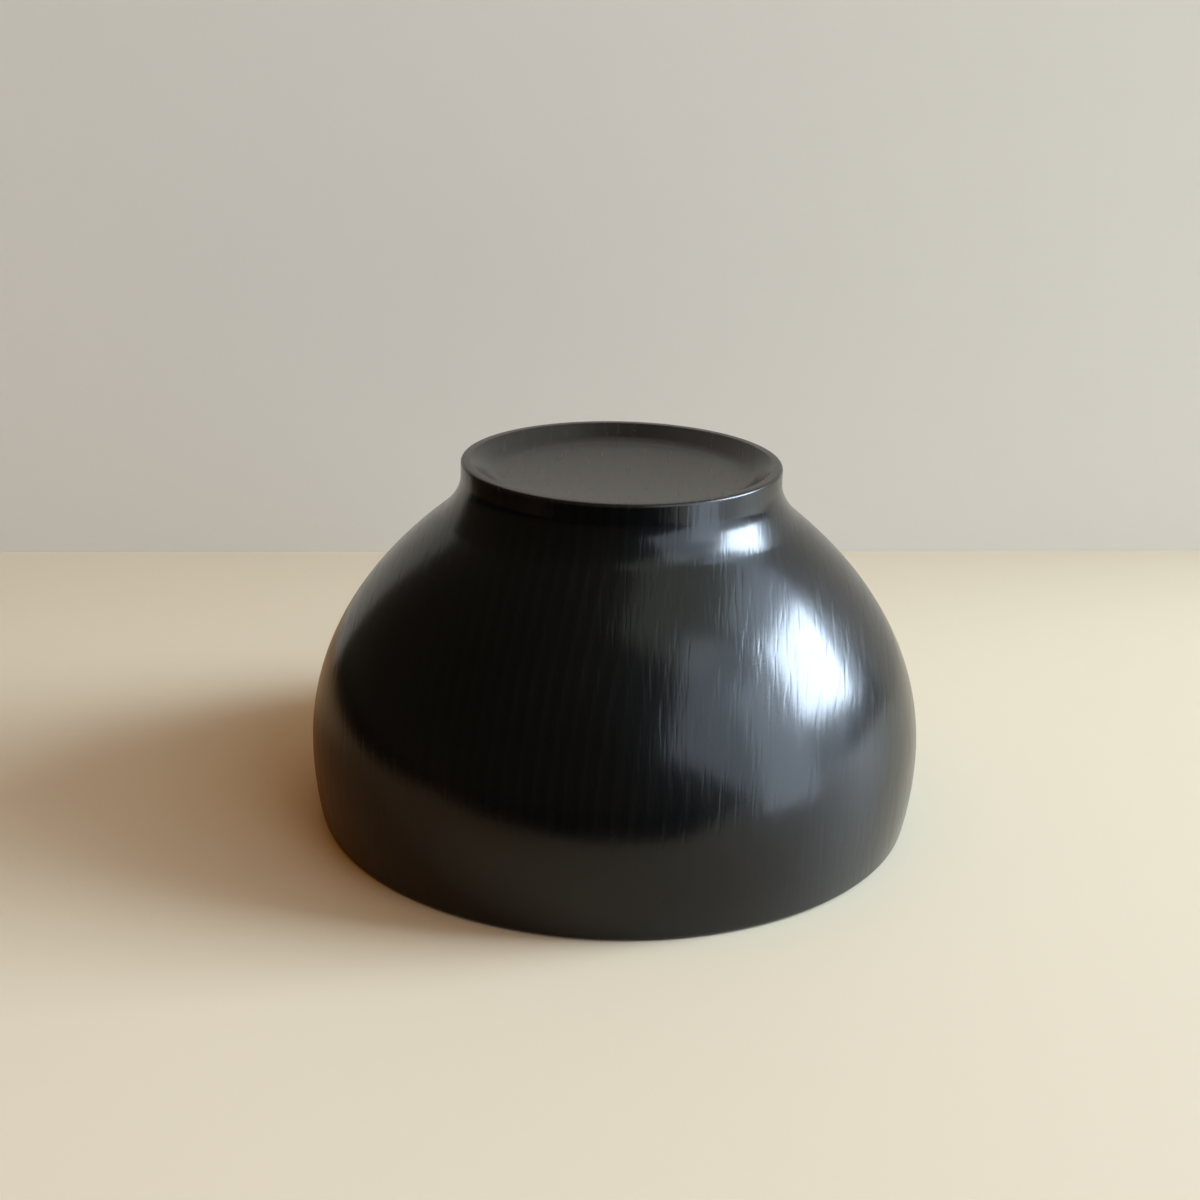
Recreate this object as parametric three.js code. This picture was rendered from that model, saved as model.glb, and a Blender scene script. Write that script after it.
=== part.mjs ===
// A turned wooden soup bowl with its coats of lacquer, standing upside down on its rim.
// Millimetres, +Z up. The origin is in the middle of the mouth, on the plane that the rim rests on.
//
// Bowl and foot are turned from one blank, so every piece is a body of revolution about Z.
// One outline of the finished section is drawn first. The wood lies one coat inside that outline,
// and each coat fills the space between the two along its own stretch, face to face with the wood.
import * as THREE from "three";

// Outside of the finished bowl
const BOWL_HEIGHT = 69; // from the rim to the foot's standing edge
const RIM_DIAMETER = 115; // at the mouth, to the corner that the lip rounds off
const BELLY_DIAMETER = 118; // at the widest place
const BELLY_HEIGHT = 14; // from the rim to the widest place
const BELLY_FULLNESS = 0.555; // share of the rise to the neck over which the belly's upright pulls
const SHOULDER_FULLNESS = 0.066; // share of that rise over which the shoulder's slope pulls
const SHOULDER_SLOPE = 46.4; // degrees from level, where the shoulder meets the neck
const NECK_DIAMETER = 60.4; // where shoulder and foot meet, to the corner that the hollow fills
const NECK_HOLLOW_UP = 3.4; // from that corner up the foot
const NECK_HOLLOW_DOWN = 5; // and down the shoulder

// Foot
const FOOT_DIAMETER = 60.3; // at the standing edge, to the corner that is rounded off
const FOOT_HEIGHT = 6.6; // from the neck to the standing edge
const FOOT_EDGE_WIDTH = 1.8; // of the standing edge, from corner to corner
const FOOT_EDGE_ROUNDING = 0.3; // of both corners, on the bare wood
const RECESS_DEPTH = 4; // in the middle
const RECESS_DISH = 1.2; // how far its floor rises from the middle to the bank
const RECESS_BANK = 4.2; // level width of the sloping wall round the recess
const RECESS_COVE = 6; // between that wall and the recess's floor

// Wall and inside
const RIM_WALL = 3.2; // at the mouth, before the lip is rounded
const LIP_ROUNDING = 0.9; // of both sides of the lip, on the bare wood
const BELLY_WALL = 4;
const BOTTOM_WALL = 5; // from the recess's floor to the inside, in the middle
const INSIDE_FULLNESS = 0.57; // share of depth and radius that the inside's ends pull over

// Finish
const COAT = 0.3; // thickness of the lacquer

// Fineness of the facets: steps round the axis, and along each stretch of the section
const TURN_SEGMENTS = 48;
const STRAIGHT_STEPS = 1;
const EDGE_STEPS = 2;
const LIP_STEPS = 3;
const DISH_STEPS = 4;
const COVE_STEPS = 3;
const NECK_STEPS = 6;
const SHOULDER_STEPS = 9;
const LOWER_WALL_STEPS = 3;
const INSIDE_LOWER_STEPS = 2;
const INSIDE_STEPS = 9;

const BARE_WOOD = { color: 0x9a6f45, roughness: 0.7, metalness: 0 };
const GLOSS_BLACK = { color: 0x14110f, roughness: 0.22, metalness: 0 };
const MATT_BLACK = { color: 0x2b2724, roughness: 0.6, metalness: 0 };

const LONGEST_REACH = 0.49; // share of a straight arm that a rounded corner may use up

const at = (radius, height) => new THREE.Vector2(radius, height);
const line = (from, to) => new THREE.LineCurve(from, to);

// The arc that rounds the corner between two straight arms, and the points where it meets them.
function roundedCorner(before, corner, after, radius) {
  const back = before.clone().sub(corner);
  const ahead = after.clone().sub(corner);
  const shorterArm = Math.min(back.length(), ahead.length());
  const half = Math.acos(back.normalize().dot(ahead.normalize())) / 2;
  const reach = Math.min(radius / Math.tan(half), LONGEST_REACH * shorterArm);
  const arcRadius = reach * Math.tan(half);
  const start = back.clone().multiplyScalar(reach).add(corner);
  const end = ahead.clone().multiplyScalar(reach).add(corner);
  const centre = back.clone().add(ahead).setLength(arcRadius / Math.sin(half)).add(corner);
  const startAngle = start.clone().sub(centre).angle();
  const endAngle = end.clone().sub(centre).angle();
  const clockwise = back.cross(ahead) > 0;
  const arc = new THREE.EllipseCurve(
    centre.x, centre.y, arcRadius, arcRadius, startAngle, endAngle, clockwise,
  );
  return { start, end, arc };
}

// Corners of the finished section, in order from the foot's recess round to the inside
const recessCentre = at(0, BOWL_HEIGHT - RECESS_DEPTH);
const footEdgeInner = at(FOOT_DIAMETER / 2 - FOOT_EDGE_WIDTH, BOWL_HEIGHT);
const recessCorner = at(footEdgeInner.x - RECESS_BANK, recessCentre.y + RECESS_DISH);
const dishPull = at(recessCorner.x / 2, recessCentre.y);
const footEdgeOuter = at(FOOT_DIAMETER / 2, BOWL_HEIGHT);
const neckCorner = at(NECK_DIAMETER / 2, BOWL_HEIGHT - FOOT_HEIGHT);
const belly = at(BELLY_DIAMETER / 2, BELLY_HEIGHT);
const belowBelly = at(belly.x, BELLY_HEIGHT / 2);
const rimOuter = at(RIM_DIAMETER / 2, 0);
const rimInner = at(rimOuter.x - RIM_WALL, 0);
const insideBelly = at(belly.x - BELLY_WALL, BELLY_HEIGHT);
const belowInsideBelly = at(insideBelly.x, BELLY_HEIGHT / 2);
const insideBottom = at(0, recessCentre.y - BOTTOM_WALL);

// The same corners, rounded. A rounded corner of the wood grows by the coat that goes over it.
const slope = THREE.MathUtils.degToRad(SHOULDER_SLOPE);
const downShoulder = at(Math.cos(slope), -Math.sin(slope));
const rise = neckCorner.y - BELLY_HEIGHT;
const upFoot = footEdgeOuter.clone().sub(neckCorner).normalize();
const neckTop = upFoot.clone().multiplyScalar(NECK_HOLLOW_UP).add(neckCorner);
const neckBottom = downShoulder.clone().multiplyScalar(NECK_HOLLOW_DOWN).add(neckCorner);
const footEdgeRounding = FOOT_EDGE_ROUNDING + COAT;
const lipRounding = LIP_ROUNDING + COAT;
const cove = roundedCorner(dishPull, recessCorner, footEdgeInner, RECESS_COVE);
const edgeIn = roundedCorner(recessCorner, footEdgeInner, footEdgeOuter, footEdgeRounding);
const edgeOut = roundedCorner(footEdgeInner, footEdgeOuter, neckCorner, footEdgeRounding);
const lipOut = roundedCorner(belowBelly, rimOuter, rimInner, lipRounding);
const lipIn = roundedCorner(rimOuter, rimInner, belowInsideBelly, lipRounding);

// The long curves: neck, shoulder and lower wall outside, lower wall and hollow inside
const neck = new THREE.QuadraticBezierCurve(neckTop, neckCorner, neckBottom);
const shoulder = new THREE.CubicBezierCurve(
  neckBottom,
  downShoulder.clone().multiplyScalar(SHOULDER_FULLNESS * rise).add(neckBottom),
  at(belly.x, BELLY_HEIGHT + BELLY_FULLNESS * rise),
  belly,
);
const lowerWall = new THREE.QuadraticBezierCurve(belly, belowBelly, lipOut.start);
const insideLowerWall = new THREE.QuadraticBezierCurve(lipIn.end, belowInsideBelly, insideBelly);
const inside = new THREE.CubicBezierCurve(
  insideBelly,
  at(insideBelly.x, BELLY_HEIGHT + INSIDE_FULLNESS * (insideBottom.y - BELLY_HEIGHT)),
  at(INSIDE_FULLNESS * insideBelly.x, insideBottom.y),
  insideBottom,
);

// The coats in the outline's order, each with the curves that it covers and their steps
const recessFloor = new THREE.QuadraticBezierCurve(recessCentre, dishPull, cove.start);
const coats = [
  {
    name: "foot_recess_lacquer",
    finish: MATT_BLACK,
    curves: [
      [recessFloor, DISH_STEPS],
      [cove.arc, COVE_STEPS],
      [line(cove.end, edgeIn.start), STRAIGHT_STEPS],
    ],
  },
  {
    name: "foot_edge_lacquer",
    finish: GLOSS_BLACK,
    curves: [
      [edgeIn.arc, EDGE_STEPS],
      [line(edgeIn.end, edgeOut.start), STRAIGHT_STEPS],
      [edgeOut.arc, EDGE_STEPS],
    ],
  },
  {
    name: "outer_lacquer",
    finish: GLOSS_BLACK,
    curves: [
      [line(edgeOut.end, neckTop), STRAIGHT_STEPS],
      [neck, NECK_STEPS],
      [shoulder, SHOULDER_STEPS],
      [lowerWall, LOWER_WALL_STEPS],
    ],
  },
  {
    name: "rim_lacquer",
    finish: GLOSS_BLACK,
    curves: [
      [lipOut.arc, LIP_STEPS],
      [line(lipOut.end, lipIn.start), STRAIGHT_STEPS],
      [lipIn.arc, LIP_STEPS],
    ],
  },
  {
    name: "inner_lacquer",
    finish: GLOSS_BLACK,
    curves: [
      [insideLowerWall, INSIDE_LOWER_STEPS],
      [inside, INSIDE_STEPS],
    ],
  },
];

// A place on the finished surface and the wood's surface under it. On the axis both stay there.
function outlinePlace(curve, share) {
  const finished = curve.getPoint(share);
  const tangent = curve.getTangent(share);
  const wood = at(tangent.y, -tangent.x).multiplyScalar(COAT).add(finished);
  if (finished.x === 0) {
    wood.x = 0;
  }
  return { finished, wood };
}

// The section of one coat: along the finished surface, back along the wood, and closed on itself
function coatSection(places) {
  const finished = places.map((place) => place.finished);
  const wood = places.map((place) => place.wood);
  return [...finished, ...wood.reverse(), finished[0]];
}

// A body of revolution about Z. The section runs clockwise, and faces point out when it is reversed.
function turned(name, section, finish) {
  const geometry = new THREE.LatheGeometry(section.toReversed(), TURN_SEGMENTS);
  geometry.rotateX(Math.PI / 2);
  const mesh = new THREE.Mesh(geometry, new THREE.MeshStandardMaterial(finish));
  mesh.name = name;
  return mesh;
}

const bowl = new THREE.Group();
const outline = [outlinePlace(recessFloor, 0)];
for (const { name, finish, curves } of coats) {
  const first = outline.length - 1;
  for (const [curve, steps] of curves) {
    for (let step = 1; step <= steps; step++) {
      outline.push(outlinePlace(curve, step / steps));
    }
  }
  bowl.add(turned(name, coatSection(outline.slice(first)), finish));
}
const woodSection = outline.map((place) => place.wood);
bowl.add(turned("wood_core", woodSection, BARE_WOOD));

export default bowl;
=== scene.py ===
"""Soup bowl turned from one blank and finished in black lacquer, upside down on its rim.

Metres, +Z up, with the origin in the middle of the mouth, on the plane that the rim rests on.
The wood and its five coats are bodies of revolution about Z. Their section is drawn once, as lines
on the finished surface, and one Geometry Nodes tree turns each of these lines into a piece.
"""
import math

import bpy
from mathutils import Matrix, Vector


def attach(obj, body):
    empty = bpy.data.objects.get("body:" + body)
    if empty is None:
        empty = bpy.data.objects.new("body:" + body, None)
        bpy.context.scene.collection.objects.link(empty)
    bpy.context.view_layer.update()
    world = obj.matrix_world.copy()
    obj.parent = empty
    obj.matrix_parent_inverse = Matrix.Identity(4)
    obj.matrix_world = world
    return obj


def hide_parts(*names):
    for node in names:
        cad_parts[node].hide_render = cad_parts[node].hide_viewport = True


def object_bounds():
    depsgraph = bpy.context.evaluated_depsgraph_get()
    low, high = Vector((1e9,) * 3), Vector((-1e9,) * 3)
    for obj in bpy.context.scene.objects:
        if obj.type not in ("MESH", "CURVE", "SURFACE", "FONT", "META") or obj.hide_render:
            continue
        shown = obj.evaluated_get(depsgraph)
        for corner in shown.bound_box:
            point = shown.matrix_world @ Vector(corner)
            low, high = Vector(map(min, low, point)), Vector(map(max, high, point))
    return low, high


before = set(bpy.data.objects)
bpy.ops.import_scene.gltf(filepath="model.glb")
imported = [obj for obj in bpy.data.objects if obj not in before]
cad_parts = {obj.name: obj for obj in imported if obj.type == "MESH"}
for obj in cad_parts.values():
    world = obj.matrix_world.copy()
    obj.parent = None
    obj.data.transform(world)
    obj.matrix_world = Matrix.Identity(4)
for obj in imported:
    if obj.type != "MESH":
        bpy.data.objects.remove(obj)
cad_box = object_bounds()

# Outside of the finished bowl
BOWL_HEIGHT = cad_box[1].z
BELLY_RADIUS = cad_box[1].x
BELLY_HEIGHT = 0.014
BELLY_FULLNESS = 0.555  # share of the rise to the neck over which the belly's upright pulls
SHOULDER_FULLNESS = 0.066  # share of that rise over which the shoulder's slope pulls
SHOULDER_SLOPE = math.radians(46.4)
RIM_RADIUS = 0.0575
NECK_RADIUS = 0.0302  # where shoulder and foot meet, to the corner that the hollow fills
NECK_HOLLOW_UP = 0.0034  # from that corner up the foot
NECK_HOLLOW_DOWN = 0.005  # and down the shoulder

# Foot
FOOT_RADIUS = 0.03015
FOOT_HEIGHT = 0.0066
FOOT_EDGE_WIDTH = 0.0018
FOOT_EDGE_ROUNDING = 0.0006
RECESS_DEPTH = 0.004  # in the middle
RECESS_DISH = 0.0012  # how far its floor rises from the middle to the bank
RECESS_BANK = 0.0042  # level width of the sloping wall round the recess
RECESS_COVE = 0.006

# Wall and inside
RIM_WALL = 0.0032
LIP_ROUNDING = 0.0012
BELLY_WALL = 0.004
BOTTOM_WALL = 0.005
INSIDE_FULLNESS = 0.57  # share of depth and radius that the inside's ends pull over

COAT = 0.0003  # thickness of the lacquer

# Fineness of the facets
TURN_STEPS = 192  # round the axis
STEPS_ALONG = {  # along each stretch of a piece's line
    "foot_recess_lacquer": 14,
    "foot_edge_lacquer": 8,
    "outer_lacquer": 40,
    "rim_lacquer": 10,
    "inner_lacquer": 40,
    "wood_core": 16,
}
LONGEST_REACH = 0.49  # share of a straight arm that a rounded corner may use up
CREASE = math.radians(50)  # an edge with a sharper turn than this is not shaded smooth
WELD = 1e-6  # points closer than this are one point

# Growth layers stand upright and run from front to back. The tree's middle was far to the left
PITH = Vector((-0.3, 0.03, 0))
LAYER_WIDTH = 0.0027
LAYER_CONE = 0.05  # how far the layers lean in as they rise
LATE_WOOD = 0.6  # share of a layer at which its early wood has faded out
NEXT_LAYER = 0.9  # share of a layer at which the next early wood sets in
GRAIN_WIDTH = 0.0008  # of the open grain's dashes
GRAIN_STRETCH = 0.1  # a dash's width against its length
GRAIN_FAINT = 0.42  # level of the noise at which a dash begins
GRAIN_FULL = 0.75  # and at which it is at its deepest
LATE_GRAIN = 0.5  # depth of a dash in late wood against one in early wood
FIGURE_WAVE = 0.03
FIGURE_SWAY = 0.0015

# Lacquer
GRAIN_RELIEF = 0.00002  # how deep the grain still shows in it
LAYER_RELIEF = 0.1  # depth of the early wood against the grain's
TOOTH_RELIEF = 0.00001
TOOTH_SIZE = 0.0004  # of the recess's matt surface
GLOSS_CLOUD = 0.012  # size of the patches that are a little paler and duller
MATT_CLOUD = 0.008
OUTER_ROUGHNESS = 0.17
RIM_ROUGHNESS = 0.2
INNER_ROUGHNESS = 0.22
MATT_ROUGHNESS = 0.22
GLOSS_GRAIN_DULLING = 0.06  # roughness that the grain, the patches and the tooth add
GLOSS_CLOUD_DULLING = 0.05
MATT_GRAIN_DULLING = 0.04
MATT_TOOTH_DULLING = 0.05
HAZE = 0.06  # weight of the rubbed film on top of the gloss
HAZE_CLOUD = 0.1  # and what the patches add to it
HAZE_ROUGHNESS = 0.35
LACQUER_SHINE = 0.35  # how strongly the lacquer mirrors, 0.5 being usual
GLOSS_BLACK = (0.0015, 0.0018, 0.002, 1)
GLOSS_PALER = (0.0035, 0.0038, 0.004, 1)
MATT_BLACK = (0.006, 0.0045, 0.0035, 1)
MATT_PALER = (0.013, 0.01, 0.0075, 1)
MATT_CLOUD_SHARE = 0.35  # what makes the recess paler
MATT_LAYER_SHARE = 0.35
MATT_TOOTH_SHARE = 0.3

# Wood under the lacquer
WOOD_CLOUD = 0.01
WOOD_PALE = (0.36, 0.22, 0.11, 1)
WOOD_DARK = (0.2, 0.11, 0.05, 1)
WOOD_PORE = (0.07, 0.035, 0.015, 1)
WOOD_LAYER_SHARE = 0.6  # what makes the wood dark
WOOD_CLOUD_SHARE = 0.3
WOOD_PORE_SHARE = 0.7
WOOD_ROUGHNESS = 0.55
WOOD_PORE_DULLING = 0.2

# Camera of the photograph
LENS = 51
CAMERA_PLACE = Vector((0, -0.3091, 0.1519))
CAMERA_PITCH = math.radians(19.77)
CAMERA_YAW = math.radians(0.64)
CAMERA_ROLL = math.radians(1.40)

# Light
BOWL_MIDDLE = Vector((0, 0, BOWL_HEIGHT / 2))
PANEL_DISTANCE = 3.0
ROOM_LIGHT = 0.07
ROOM_COLOUR = (1.0, 0.78, 0.52, 1)
WINDOW_COLOUR = (0.68, 0.83, 1.0)
CURTAIN_COLOUR = (0.72, 0.85, 1.0)
CEILING_COLOUR = (0.92, 1.0, 0.86)
BELOW_COLOUR = (1.0, 0.97, 0.92)
LAMP_COLOUR = (1.0, 0.36, 0.0)

# Table and wall
WALL_DISTANCE = 0.155
WALL_TURN = math.radians(5.3)
WALL_LEFT = -0.19
WALL_RIGHT = 0.4
WALL_HEIGHT = 0.6
TABLE_REACH = 1.0
TABLE_COLOUR = (0.495, 0.435, 0.318, 1)
TABLE_ROUGHNESS = 0.55
TABLE_SHINE = 0.35
TABLE_OPENING = 0.0564  # radius, closed by the rim, so that light from below reaches the inside
WALL_COLOUR = (0.68, 0.635, 0.56, 1)
WALL_ROUGHNESS = 0.8
WALL_SHINE = 0.0

# Cards that only the bowl mirrors: painted reflections on its gloss, a dark one, a warm tint and a
# bright one
# Painted dark reflection: a black sheet that only the bowl mirrors, in place of the dark room beyond the
# table
FLAG_FRONT = -0.13  # the bowl doesn't mirror the table nearer to the camera than this
FLAG_LEFT = -0.2  # nor further to the left than this
FLAG_RIGHT = 0.05  # from here the front edge of the flag runs off to the right
FLAG_FAR_RIGHT = 1.0
FLAG_HEIGHT = 0.0005  # above the table, of the gel as well
# Painted reflection colour: the gel warms the shaded table that the bowl mirrors on its left, in place
# of warmer light there
GEL_TINT = (0.7, 0.5, 0.35, 1)  # warms the table that the bowl mirrors on its left
GEL_FULL = -0.09  # the tint is full to the left of this
GEL_CLEAR = 0.06  # and gone to the right of this
# Painted reflection: a glowing card that lights nothing and shows only in the bowl's gloss, as a pale
# strip below the window's highlight
CARD_BEARING = math.radians(57)
CARD_DISTANCE = 0.2
CARD_WIDTH = 0.075
CARD_HEIGHT = 0.17
CARD_GLOW = 5.0


class Socket:
    """An output of a node. An operator on it adds a Math node and gives that node's output."""

    def __init__(self, plan, output):
        self.plan = plan
        self.output = output

    def _math(self, operation, *values):
        sockets = dict(enumerate(values))
        return self.plan.node("ShaderNodeMath", {"operation": operation}, sockets)["Value"]

    def __add__(self, other):
        return self._math("ADD", self, other)

    def __radd__(self, other):
        return self._math("ADD", other, self)

    def __sub__(self, other):
        return self._math("SUBTRACT", self, other)

    def __rsub__(self, other):
        return self._math("SUBTRACT", other, self)

    def __mul__(self, other):
        return self._math("MULTIPLY", self, other)

    def __rmul__(self, other):
        return self._math("MULTIPLY", other, self)

    def __truediv__(self, other):
        return self._math("DIVIDE", self, other)

    def __gt__(self, other):
        return self._math("GREATER_THAN", self, other)


class Node:
    """A finished node, whose outputs are taken by name or number."""

    def __init__(self, plan, node):
        self.plan = plan
        self.node = node

    def __getitem__(self, name):
        return Socket(self.plan, self.node.outputs[name])


class Plan:
    """A node tree under construction."""

    def __init__(self, tree):
        self.tree = tree

    def node(self, kind, settings=None, sockets=None):
        """Adds a node: its settings come first, then the values or links of its sockets."""
        node = self.tree.nodes.new(kind)
        for name, value in (settings or {}).items():
            setattr(node, name, value)
        for key, value in (sockets or {}).items():
            self.feed(node.inputs[key], value)
        return Node(self, node)

    def feed(self, socket, value):
        if isinstance(value, Socket):
            self.tree.links.new(value.output, socket)
        else:
            socket.default_value = value


# Section of the finished bowl. A point is (radius, height), and a stretch is one cubic curve:
# its start, the point that pulls at the start, the one that pulls at the end, and its end.
def at(radius, height):
    return Vector((radius, height))


def straight(start, end):
    return start, start.lerp(end, 1 / 3), start.lerp(end, 2 / 3), end


def bent(start, pull, end):
    return start, start.lerp(pull, 2 / 3), end.lerp(pull, 2 / 3), end


def rounded(before, corner, after, radius):
    """The arc that rounds the corner between two straight arms."""
    back = before - corner
    ahead = after - corner
    half = back.angle(ahead) / 2
    shorter_arm = min(back.length, ahead.length)
    reach = min(radius / math.tan(half), LONGEST_REACH * shorter_arm)
    start = corner + back.normalized() * reach
    end = corner + ahead.normalized() * reach
    quarter_sweep = (math.pi - 2 * half) / 4
    pull = 4 / 3 * math.tan(quarter_sweep) * math.tan(half)
    return start, start.lerp(corner, pull), end.lerp(corner, pull), end


def finished_section():
    """The stretches of each coat, in order from the middle of the foot round to the inside."""
    recess_centre = at(0, BOWL_HEIGHT - RECESS_DEPTH)
    edge_inner = at(FOOT_RADIUS - FOOT_EDGE_WIDTH, BOWL_HEIGHT)
    edge_outer = at(FOOT_RADIUS, BOWL_HEIGHT)
    recess_corner = at(edge_inner.x - RECESS_BANK, recess_centre.y + RECESS_DISH)
    dish_pull = at(recess_corner.x / 2, recess_centre.y)
    neck_corner = at(NECK_RADIUS, BOWL_HEIGHT - FOOT_HEIGHT)
    belly = at(BELLY_RADIUS, BELLY_HEIGHT)
    below_belly = at(BELLY_RADIUS, BELLY_HEIGHT / 2)
    rim_outer = at(RIM_RADIUS, 0)
    rim_inner = at(RIM_RADIUS - RIM_WALL, 0)
    inside_belly = at(BELLY_RADIUS - BELLY_WALL, BELLY_HEIGHT)
    below_inside_belly = at(inside_belly.x, BELLY_HEIGHT / 2)
    inside_bottom = at(0, recess_centre.y - BOTTOM_WALL)

    rise = neck_corner.y - BELLY_HEIGHT
    up_foot = (edge_outer - neck_corner).normalized()
    down_shoulder = at(math.cos(SHOULDER_SLOPE), -math.sin(SHOULDER_SLOPE))
    neck_top = neck_corner + up_foot * NECK_HOLLOW_UP
    neck_bottom = neck_corner + down_shoulder * NECK_HOLLOW_DOWN
    cove = rounded(dish_pull, recess_corner, edge_inner, RECESS_COVE)
    edge_in = rounded(recess_corner, edge_inner, edge_outer, FOOT_EDGE_ROUNDING)
    edge_out = rounded(edge_inner, edge_outer, neck_corner, FOOT_EDGE_ROUNDING)
    lip_out = rounded(below_belly, rim_outer, rim_inner, LIP_ROUNDING)
    lip_in = rounded(rim_outer, rim_inner, below_inside_belly, LIP_ROUNDING)
    shoulder = (
        neck_bottom,
        neck_bottom + down_shoulder * SHOULDER_FULLNESS * rise,
        at(BELLY_RADIUS, BELLY_HEIGHT + BELLY_FULLNESS * rise),
        belly,
    )
    inside = (
        inside_belly,
        inside_belly.lerp(at(inside_belly.x, inside_bottom.y), INSIDE_FULLNESS),
        inside_bottom.lerp(at(inside_belly.x, inside_bottom.y), INSIDE_FULLNESS),
        inside_bottom,
    )
    return {
        "foot_recess_lacquer": [
            bent(recess_centre, dish_pull, cove[0]),
            cove,
            straight(cove[-1], edge_in[0]),
        ],
        "foot_edge_lacquer": [edge_in, straight(edge_in[-1], edge_out[0]), edge_out],
        "outer_lacquer": [
            straight(edge_out[-1], neck_top),
            bent(neck_top, neck_corner, neck_bottom),
            shoulder,
            bent(belly, below_belly, lip_out[0]),
        ],
        "rim_lacquer": [lip_out, straight(lip_out[-1], lip_in[0]), lip_in],
        "inner_lacquer": [bent(lip_in[-1], below_inside_belly, inside_belly), inside],
    }


def drawn_line(name, stretches):
    """The stretches as one Bezier line, drawn flat: X is the radius and Y the height."""
    curve = bpy.data.curves.new(name, "CURVE")
    curve.dimensions = "3D"
    spline = curve.splines.new("BEZIER")
    spline.bezier_points.add(len(stretches))
    points = spline.bezier_points
    for point in points:
        point.handle_left_type = "FREE"
        point.handle_right_type = "FREE"
    for first, last, (start, start_pull, end_pull, end) in zip(points, points[1:], stretches):
        first.co = start.to_3d()
        first.handle_right = start_pull.to_3d()
        last.handle_left = end_pull.to_3d()
        last.co = end.to_3d()
    points[0].handle_left = points[0].co
    points[-1].handle_right = points[-1].co
    return curve


def lathe_tree():
    """Turns a drawn line about Z, lays a coat under the surface and closes the piece."""
    tree = bpy.data.node_groups.new("lathe", "GeometryNodeTree")
    for name, kind in (
        ("Line", "NodeSocketGeometry"),
        ("Depth under the finish", "NodeSocketFloat"),
        ("Coat thickness", "NodeSocketFloat"),
        ("Steps round", "NodeSocketInt"),
        ("Steps along a stretch", "NodeSocketInt"),
        ("Finish", "NodeSocketMaterial"),
    ):
        tree.interface.new_socket(name, in_out="INPUT", socket_type=kind)
    tree.interface.new_socket("Piece", in_out="OUTPUT", socket_type="NodeSocketGeometry")
    plan = Plan(tree)
    given = plan.node("NodeGroupInput")

    # The sweep carries Y downwards along its path, so the line is turned over first
    line = plan.node(
        "GeometryNodeSetSplineResolution",
        {},
        {"Geometry": given["Line"], "Resolution": given["Steps along a stretch"]},
    )["Geometry"]
    profile = plan.node(
        "GeometryNodeTransform",
        {},
        {"Geometry": line, "Translation": (-BELLY_RADIUS, 0, 0), "Rotation": (math.pi, 0, 0)},
    )["Geometry"]
    path = plan.node(
        "GeometryNodeCurvePrimitiveCircle",
        {"mode": "RADIUS"},
        {"Resolution": given["Steps round"], "Radius": BELLY_RADIUS},
    )["Curve"]
    upright = plan.node("GeometryNodeSetCurveNormal", {"mode": "Z_UP"}, {"Curve": path})["Curve"]
    swept = plan.node(
        "GeometryNodeCurveToMesh", {}, {"Curve": upright, "Profile Curve": profile}
    )["Mesh"]
    closed = plan.node(
        "GeometryNodeMergeByDistance", {}, {"Geometry": swept, "Distance": WELD}
    )["Geometry"]

    normal = plan.node("GeometryNodeInputNormal")["Normal"]
    inward = plan.node(
        "ShaderNodeVectorMath",
        {"operation": "SCALE"},
        {0: normal, "Scale": 0 - given["Depth under the finish"]},
    )["Vector"]
    skin = plan.node("GeometryNodeSetPosition", {}, {"Geometry": closed, "Offset": inward})["Geometry"]

    back = plan.node(
        "GeometryNodeExtrudeMesh",
        {"mode": "FACES"},
        {"Mesh": skin, "Offset Scale": 0 - given["Coat thickness"], "Individual": False},
    )["Mesh"]
    back = plan.node("GeometryNodeFlipFaces", {}, {"Mesh": back})["Mesh"]
    both = plan.node("GeometryNodeJoinGeometry")
    plan.feed(both.node.inputs[0], skin)
    plan.feed(both.node.inputs[0], back)
    coat = plan.node(
        "GeometryNodeMergeByDistance", {}, {"Geometry": both["Geometry"], "Distance": WELD}
    )["Geometry"]
    piece = plan.node(
        "GeometryNodeSwitch",
        {"input_type": "GEOMETRY"},
        {"Switch": given["Coat thickness"] > 0, "False": skin, "True": coat},
    )["Output"]

    smooth = plan.node("GeometryNodeSetShadeSmooth", {"domain": "FACE"}, {"Geometry": piece})["Geometry"]
    turn = plan.node("GeometryNodeInputMeshEdgeAngle")["Unsigned Angle"]
    creased = plan.node(
        "GeometryNodeSetShadeSmooth",
        {"domain": "EDGE"},
        {"Geometry": smooth, "Selection": turn > CREASE, "Shade Smooth": False},
    )["Geometry"]
    real = plan.node("GeometryNodeRealizeInstances", {}, {"Geometry": creased})["Geometry"]
    finished = plan.node(
        "GeometryNodeSetMaterial", {}, {"Geometry": real, "Material": given["Finish"]}
    )["Geometry"]
    plan.node("NodeGroupOutput", {}, {"Piece": finished})
    return tree


def turned(name, stretches, tree, sizes):
    """A piece turned from its line. sizes are the tree's named inputs."""
    lined = bpy.data.objects.new(name, drawn_line(name, stretches))
    bpy.context.scene.collection.objects.link(lined)
    modifier = lined.modifiers.new("lathe", "NODES")
    modifier.node_group = tree
    for item in tree.interface.items_tree:
        if item.name in sizes:
            modifier[item.identifier] = sizes[item.name]
    shaped = lined.evaluated_get(bpy.context.evaluated_depsgraph_get())
    mesh = bpy.data.meshes.new_from_object(shaped)
    bpy.data.objects.remove(lined)
    piece = bpy.data.objects.new(name, mesh)
    bpy.context.scene.collection.objects.link(piece)
    return piece


# Finishes
def new_finish(name):
    """An empty material, and the plan of its nodes."""
    material = bpy.data.materials.new(name)
    material.use_nodes = True
    material.node_tree.nodes.clear()
    return material, Plan(material.node_tree)


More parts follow.
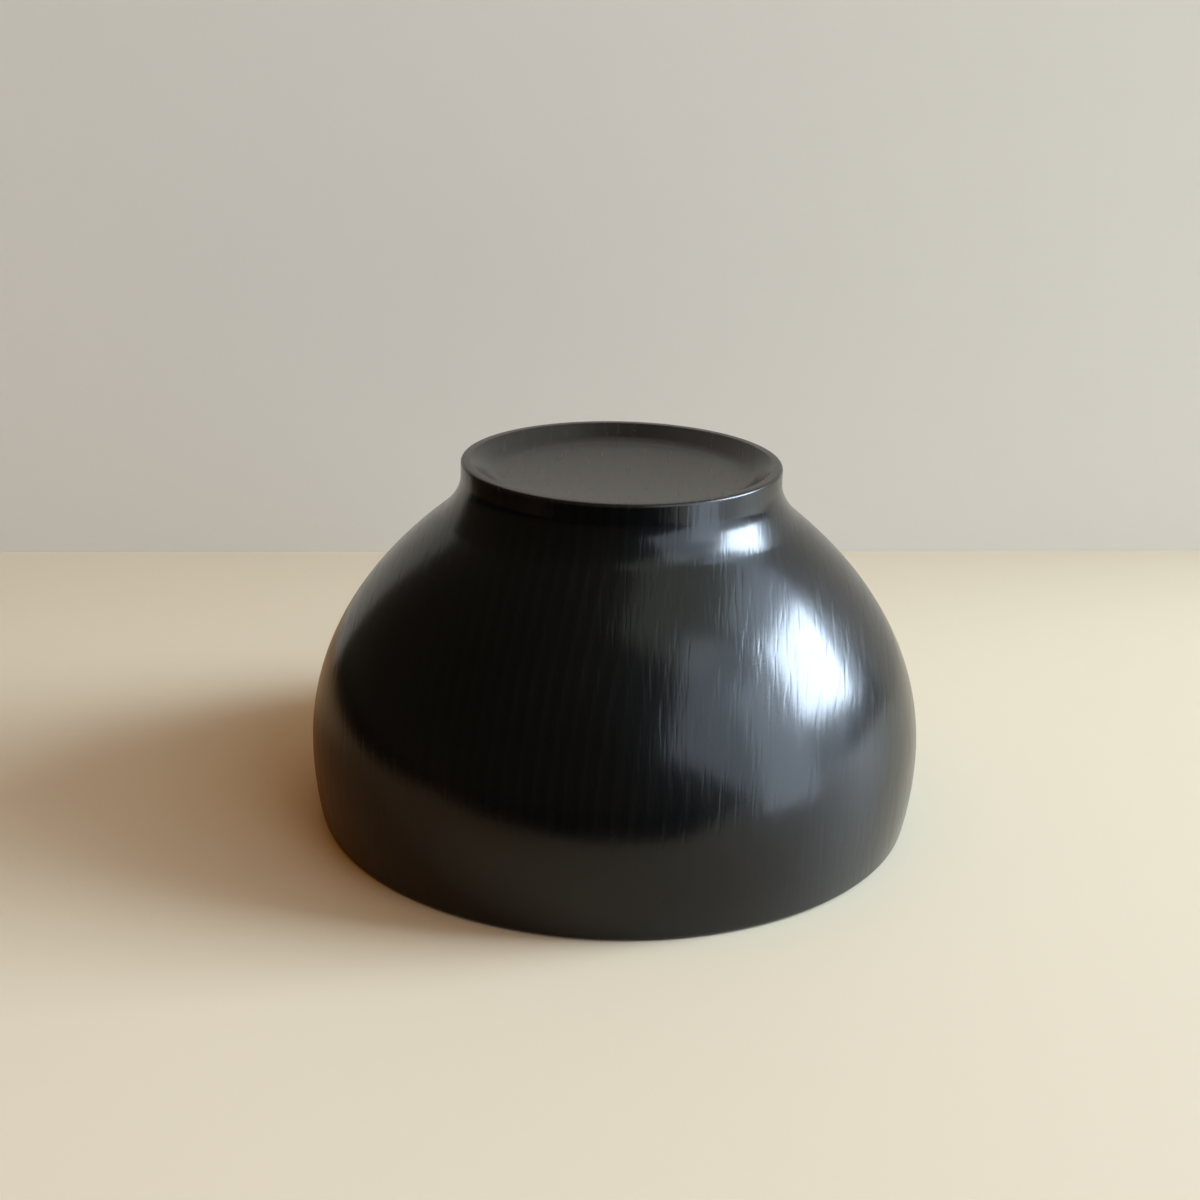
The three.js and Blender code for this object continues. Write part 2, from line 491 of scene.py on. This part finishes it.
def eased(plan, value, low, high):
    """0 below low and 1 above high, with a soft step between them."""
    return plan.node(
        "ShaderNodeMapRange",
        {"interpolation_type": "SMOOTHSTEP"},
        {"Value": value, "From Min": low, "From Max": high},
    )["Result"]


def noise(plan, place, size, detail=2.0):
    """Soft noise with patches of that size, in metres."""
    return plan.node(
        "ShaderNodeTexNoise", {}, {"Vector": place, "Scale": 1 / size, "Detail": detail}
    )["Fac"]


def blended(plan, share, first, second):
    """A colour between two colours. The node has its colours at sockets 6 and 7 and output 2."""
    return plan.node(
        "ShaderNodeMix",
        {"data_type": "RGBA"},
        {"Factor": share, 6: first, 7: second},
    )[2]


def figure(plan):
    """The wood's figure, the same through all pieces: early wood of the layers, and open grain."""
    place = plan.node("ShaderNodeTexCoord")["Object"]
    drift = plan.node("ShaderNodeTexNoise", {}, {"Vector": place, "Scale": 1 / FIGURE_WAVE})["Color"]
    swayed = plan.node(
        "ShaderNodeVectorMath",
        {"operation": "MULTIPLY_ADD"},
        {0: drift, 1: (FIGURE_SWAY, FIGURE_SWAY, 0), 2: place},
    )["Vector"]
    level = plan.node(
        "ShaderNodeVectorMath", {"operation": "MULTIPLY"}, {0: swayed, 1: (1, 1, LAYER_CONE)}
    )["Vector"]
    from_pith = plan.node(
        "ShaderNodeVectorMath", {"operation": "DISTANCE"}, {0: level, 1: PITH}
    )["Value"]
    phase = plan.node("ShaderNodeMath", {"operation": "FRACT"}, {0: from_pith / LAYER_WIDTH})["Value"]
    early = eased(plan, phase, NEXT_LAYER, 1.0) + eased(plan, phase, LATE_WOOD, 0.0)
    lengthwise = plan.node(
        "ShaderNodeVectorMath",
        {"operation": "MULTIPLY"},
        {0: swayed, 1: (1, GRAIN_STRETCH, GRAIN_STRETCH)},
    )["Vector"]
    dashes = eased(plan, noise(plan, lengthwise, GRAIN_WIDTH, detail=1.0), GRAIN_FAINT, GRAIN_FULL)
    grain = dashes * (LATE_GRAIN + (1 - LATE_GRAIN) * early)
    return place, early, grain


def black_lacquer(name, smoothest):
    """Thin black lacquer over the wood: its layers and open grain show as a relief in the gloss."""
    material, plan = new_finish(name)
    place, early, grain = figure(plan)
    cloud = noise(plan, place, GLOSS_CLOUD)
    colour = blended(plan, early * cloud, GLOSS_BLACK, GLOSS_PALER)
    roughness = smoothest + GLOSS_GRAIN_DULLING * grain + GLOSS_CLOUD_DULLING * cloud
    haze = HAZE + HAZE_CLOUD * cloud
    height = 0 - grain - LAYER_RELIEF * early
    relief = plan.node(
        "ShaderNodeBump",
        {},
        {"Strength": 1.0, "Distance": GRAIN_RELIEF, "Height": height},
    )["Normal"]
    surface = plan.node(
        "ShaderNodeBsdfPrincipled",
        {},
        {
            "Base Color": colour,
            "Roughness": roughness,
            "Coat Weight": haze,
            "Coat Roughness": HAZE_ROUGHNESS,
            "Specular IOR Level": LACQUER_SHINE,
            "Normal": relief,
        },
    )["BSDF"]
    plan.node("ShaderNodeOutputMaterial", {}, {"Surface": surface})
    return material


def matt_lacquer(name):
    """Matt warm black of the foot's recess, with a fine tooth and faint layers."""
    material, plan = new_finish(name)
    place, early, grain = figure(plan)
    tooth = noise(plan, place, TOOTH_SIZE)
    cloud = noise(plan, place, MATT_CLOUD)
    shade = MATT_CLOUD_SHARE * cloud + MATT_LAYER_SHARE * early + MATT_TOOTH_SHARE * tooth
    colour = blended(plan, shade, MATT_BLACK, MATT_PALER)
    roughness = MATT_ROUGHNESS + MATT_TOOTH_DULLING * tooth + MATT_GRAIN_DULLING * grain
    relief = plan.node(
        "ShaderNodeBump",
        {},
        {"Strength": 1.0, "Distance": TOOTH_RELIEF, "Height": tooth},
    )["Normal"]
    surface = plan.node(
        "ShaderNodeBsdfPrincipled",
        {},
        {
            "Base Color": colour,
            "Roughness": roughness,
            "Specular IOR Level": LACQUER_SHINE,
            "Normal": relief,
        },
    )["BSDF"]
    plan.node("ShaderNodeOutputMaterial", {}, {"Surface": surface})
    return material


def bare_wood(name):
    """Turned wood with dark open grain in the early wood."""
    material, plan = new_finish(name)
    place, early, grain = figure(plan)
    cloud = noise(plan, place, WOOD_CLOUD)
    shade = WOOD_LAYER_SHARE * early + WOOD_CLOUD_SHARE * cloud
    tone = blended(plan, shade, WOOD_PALE, WOOD_DARK)
    colour = blended(plan, WOOD_PORE_SHARE * grain, tone, WOOD_PORE)
    roughness = WOOD_ROUGHNESS + WOOD_PORE_DULLING * grain
    relief = plan.node(
        "ShaderNodeBump", {}, {"Strength": 1.0, "Distance": GRAIN_RELIEF, "Height": 0 - grain}
    )["Normal"]
    surface = plan.node(
        "ShaderNodeBsdfPrincipled",
        {},
        {"Base Color": colour, "Roughness": roughness, "Normal": relief},
    )["BSDF"]
    plan.node("ShaderNodeOutputMaterial", {}, {"Surface": surface})
    return material


def stage_finish(name, colour, roughness, shine, opening=0.0):
    """A plain surface that can be looked through from behind, with a round opening."""
    material, plan = new_finish(name)
    plain = plan.node(
        "ShaderNodeBsdfPrincipled",
        {},
        {"Base Color": colour, "Roughness": roughness, "Specular IOR Level": shine},
    )["BSDF"]
    clear = plan.node("ShaderNodeBsdfTransparent")["BSDF"]
    behind = plan.node("ShaderNodeNewGeometry")["Backfacing"]
    place = plan.node("ShaderNodeTexCoord")["Object"]
    from_axis = plan.node("ShaderNodeVectorMath", {"operation": "LENGTH"}, {0: place})["Value"]
    see_through = behind + (opening - from_axis > 0)
    surface = plan.node("ShaderNodeMixShader", {}, {0: see_through, 1: plain, 2: clear})["Shader"]
    plan.node("ShaderNodeOutputMaterial", {}, {"Surface": surface})
    return material


def glowing(name, colour, strength):
    """A surface that gives light and takes none."""
    material, plan = new_finish(name)
    glow = plan.node("ShaderNodeEmission", {}, {"Color": colour, "Strength": strength})["Emission"]
    plan.node("ShaderNodeOutputMaterial", {}, {"Surface": glow})
    return material


def graded_gel(name):
    """A clear sheet that is tinted on the left: a painted warm tint on what the bowl mirrors through it.
    """
    material, plan = new_finish(name)
    place = plan.node("ShaderNodeTexCoord")["Object"]
    across = plan.node("ShaderNodeSeparateXYZ", {}, {"Vector": place})["X"]
    clear = plan.node("ShaderNodeBsdfTransparent")["BSDF"]
    tinted = plan.node("ShaderNodeBsdfTransparent", {}, {"Color": GEL_TINT})["BSDF"]
    share = eased(plan, across, GEL_CLEAR, GEL_FULL)
    surface = plan.node("ShaderNodeMixShader", {}, {0: share, 1: clear, 2: tinted})["Shader"]
    plan.node("ShaderNodeOutputMaterial", {}, {"Surface": surface})
    return material


# Stage, lights and camera
def stage_plane(name, corners, finish):
    mesh = bpy.data.meshes.new(name)
    mesh.from_pydata(corners, [], [range(len(corners))])
    mesh.materials.append(finish)
    plane = bpy.data.objects.new(name, mesh)
    bpy.context.scene.collection.objects.link(plane)
    return plane


def mirrored_only(card):
    """A studio card that shows in reflections and nowhere else: it paints its colour into the bowl's
    reflections and lights nothing.
    """
    card.visible_camera = False
    card.visible_diffuse = False
    card.visible_shadow = False


def add_stage():
    def wall_foot(x):
        return x, WALL_DISTANCE + math.tan(WALL_TURN) * x, 0

    def wall_top(x):
        return *wall_foot(x)[:2], WALL_HEIGHT

    reach = TABLE_REACH
    table = [(-reach, -reach, 0), (reach, -reach, 0), (reach, reach, 0), (-reach, reach, 0)]
    stage_plane(
        "table",
        table,
        stage_finish("pale_table", TABLE_COLOUR, TABLE_ROUGHNESS, TABLE_SHINE, TABLE_OPENING),
    )
    wall = [wall_foot(WALL_LEFT), wall_foot(WALL_RIGHT), wall_top(WALL_RIGHT), wall_top(WALL_LEFT)]
    stage_plane(
        "wall", wall, stage_finish("pale_wall", WALL_COLOUR, WALL_ROUGHNESS, WALL_SHINE)
    )
    flag = [
        (-reach, -reach, FLAG_HEIGHT),
        (FLAG_FAR_RIGHT, -reach, FLAG_HEIGHT),
        (FLAG_RIGHT, FLAG_FRONT, FLAG_HEIGHT),
        (FLAG_LEFT, FLAG_FRONT, FLAG_HEIGHT),
        (FLAG_LEFT, reach, FLAG_HEIGHT),
        (-reach, reach, FLAG_HEIGHT),
    ]
    # Painted dark reflection: a black sheet that only the bowl mirrors, over the table beyond these
    # edges
    mirrored_only(stage_plane("black_flag_painted_dark_reflection", flag, glowing("flag_black", (0, 0, 0, 1), 0)))
    # Painted warm tint on the bowl's reflection of the shaded table on its left
    gel = [
        (FLAG_LEFT, FLAG_FRONT, FLAG_HEIGHT),
        (GEL_CLEAR, FLAG_FRONT, FLAG_HEIGHT),
        (GEL_CLEAR, WALL_DISTANCE, FLAG_HEIGHT),
        (FLAG_LEFT, WALL_DISTANCE, FLAG_HEIGHT),
    ]
    mirrored_only(stage_plane("warm_gel_painted_reflection_tint", gel, graded_gel("gel_painted_warm_reflection")))
    # Painted reflection: a glowing white card that only the bowl mirrors
    outward = Vector((math.sin(CARD_BEARING), -math.cos(CARD_BEARING), 0))
    across = Vector((outward.y, -outward.x, 0)) * CARD_WIDTH / 2
    foot = outward * CARD_DISTANCE
    top = foot + Vector((0, 0, CARD_HEIGHT))
    card = [foot - across, foot + across, top + across, top - across]
    white = glowing("card_white_painted_reflection", (*CURTAIN_COLOUR, 1), CARD_GLOW)
    mirrored_only(stage_plane("white_card_painted_reflection", card, white))


def add_panel(name, bearing, rise, width, height, roll, radiance, colour):
    """A soft panel that faces the bowl. All angles are in degrees, as seen from the bowl, and the
    bearing runs from the camera's side round by the right."""
    bearing = math.radians(bearing)
    rise = math.radians(rise)
    outward = Vector(
        (math.sin(bearing) * math.cos(rise), -math.cos(bearing) * math.cos(rise), math.sin(rise))
    )
    light = bpy.data.lights.new(name, "AREA")
    light.shape = "RECTANGLE"
    light.size = 2 * PANEL_DISTANCE * math.tan(math.radians(width) / 2)
    light.size_y = 2 * PANEL_DISTANCE * math.tan(math.radians(height) / 2)
    light.energy = radiance * math.pi * light.size * light.size_y
    light.color = colour
    panel = bpy.data.objects.new(name, light)
    facing = outward.to_track_quat("Z", "Y").to_matrix().to_4x4()
    turn = Matrix.Rotation(math.radians(roll), 4, "Z")
    panel.matrix_world = Matrix.Translation(BOWL_MIDDLE + outward * PANEL_DISTANCE) @ facing @ turn
    bpy.context.scene.collection.objects.link(panel)
    return panel


def add_world():
    world = bpy.data.worlds.new("room")
    world.use_nodes = True
    background = world.node_tree.nodes["Background"]
    background.inputs["Color"].default_value = ROOM_COLOUR
    background.inputs["Strength"].default_value = ROOM_LIGHT
    bpy.context.scene.world = world


def add_camera():
    lens = bpy.data.cameras.new("camera")
    lens.lens = LENS
    camera = bpy.data.objects.new("camera", lens)
    turn = Matrix.Rotation(CAMERA_YAW, 4, "Z") @ Matrix.Rotation(math.pi / 2 - CAMERA_PITCH, 4, "X")
    roll = Matrix.Rotation(CAMERA_ROLL, 4, "Z")
    camera.matrix_world = Matrix.Translation(CAMERA_PLACE) @ turn @ roll
    bpy.context.scene.collection.objects.link(camera)
    bpy.context.scene.camera = camera


def build_bowl():
    tree = lathe_tree()
    coats = finished_section()
    finishes = {
        "foot_recess_lacquer": matt_lacquer("matt_recess"),
        "foot_edge_lacquer": matt_lacquer("foot_edge_satin"),
        "outer_lacquer": black_lacquer("outer_gloss", OUTER_ROUGHNESS),
        "rim_lacquer": black_lacquer("rim_gloss", RIM_ROUGHNESS),
        "inner_lacquer": black_lacquer("inner_gloss", INNER_ROUGHNESS),
    }
    for node, stretches in coats.items():
        sizes = {
            "Depth under the finish": 0.0,
            "Coat thickness": COAT,
            "Steps round": TURN_STEPS,
            "Steps along a stretch": STEPS_ALONG[node],
            "Finish": finishes[node],
        }
        piece = turned(node.replace("lacquer", "coat"), stretches, tree, sizes)
        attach(piece, "root")
        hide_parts(node)
    sizes = {
        "Depth under the finish": COAT,
        "Coat thickness": 0.0,
        "Steps round": TURN_STEPS,
        "Steps along a stretch": STEPS_ALONG["wood_core"],
        "Finish": bare_wood("turned_wood"),
    }
    whole = [stretch for stretches in coats.values() for stretch in stretches]
    wood = turned("wood_body", whole, tree, sizes)
    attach(wood, "root")
    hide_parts("wood_core")


build_bowl()
add_stage()
add_panel(
    "window", bearing=95, rise=26, width=28, height=25, roll=-16, radiance=35.0,
    colour=WINDOW_COLOUR,
)
add_panel(
    "window_glow", bearing=100, rise=32, width=43, height=41, roll=-16, radiance=3.4,
    colour=WINDOW_COLOUR,
)
add_panel(
    "curtain", bearing=62.8, rise=20.8, width=70, height=50, roll=-45, radiance=2.5,
    colour=CURTAIN_COLOUR,
)
add_panel(
    "ceiling", bearing=70, rise=66, width=45, height=30, roll=0, radiance=0.8,
    colour=CEILING_COLOUR,
)
add_panel(
    "light_below", bearing=0, rise=-60, width=60, height=60, roll=0, radiance=3.0,
    colour=BELOW_COLOUR,
)
room_lamp = add_panel(
    "room_lamp", bearing=-60, rise=75, width=60, height=60, roll=0, radiance=0.95,
    colour=LAMP_COLOUR,
)
room_lamp.visible_glossy = False
add_world()
add_camera()
bpy.context.scene.view_settings.view_transform = "Standard"
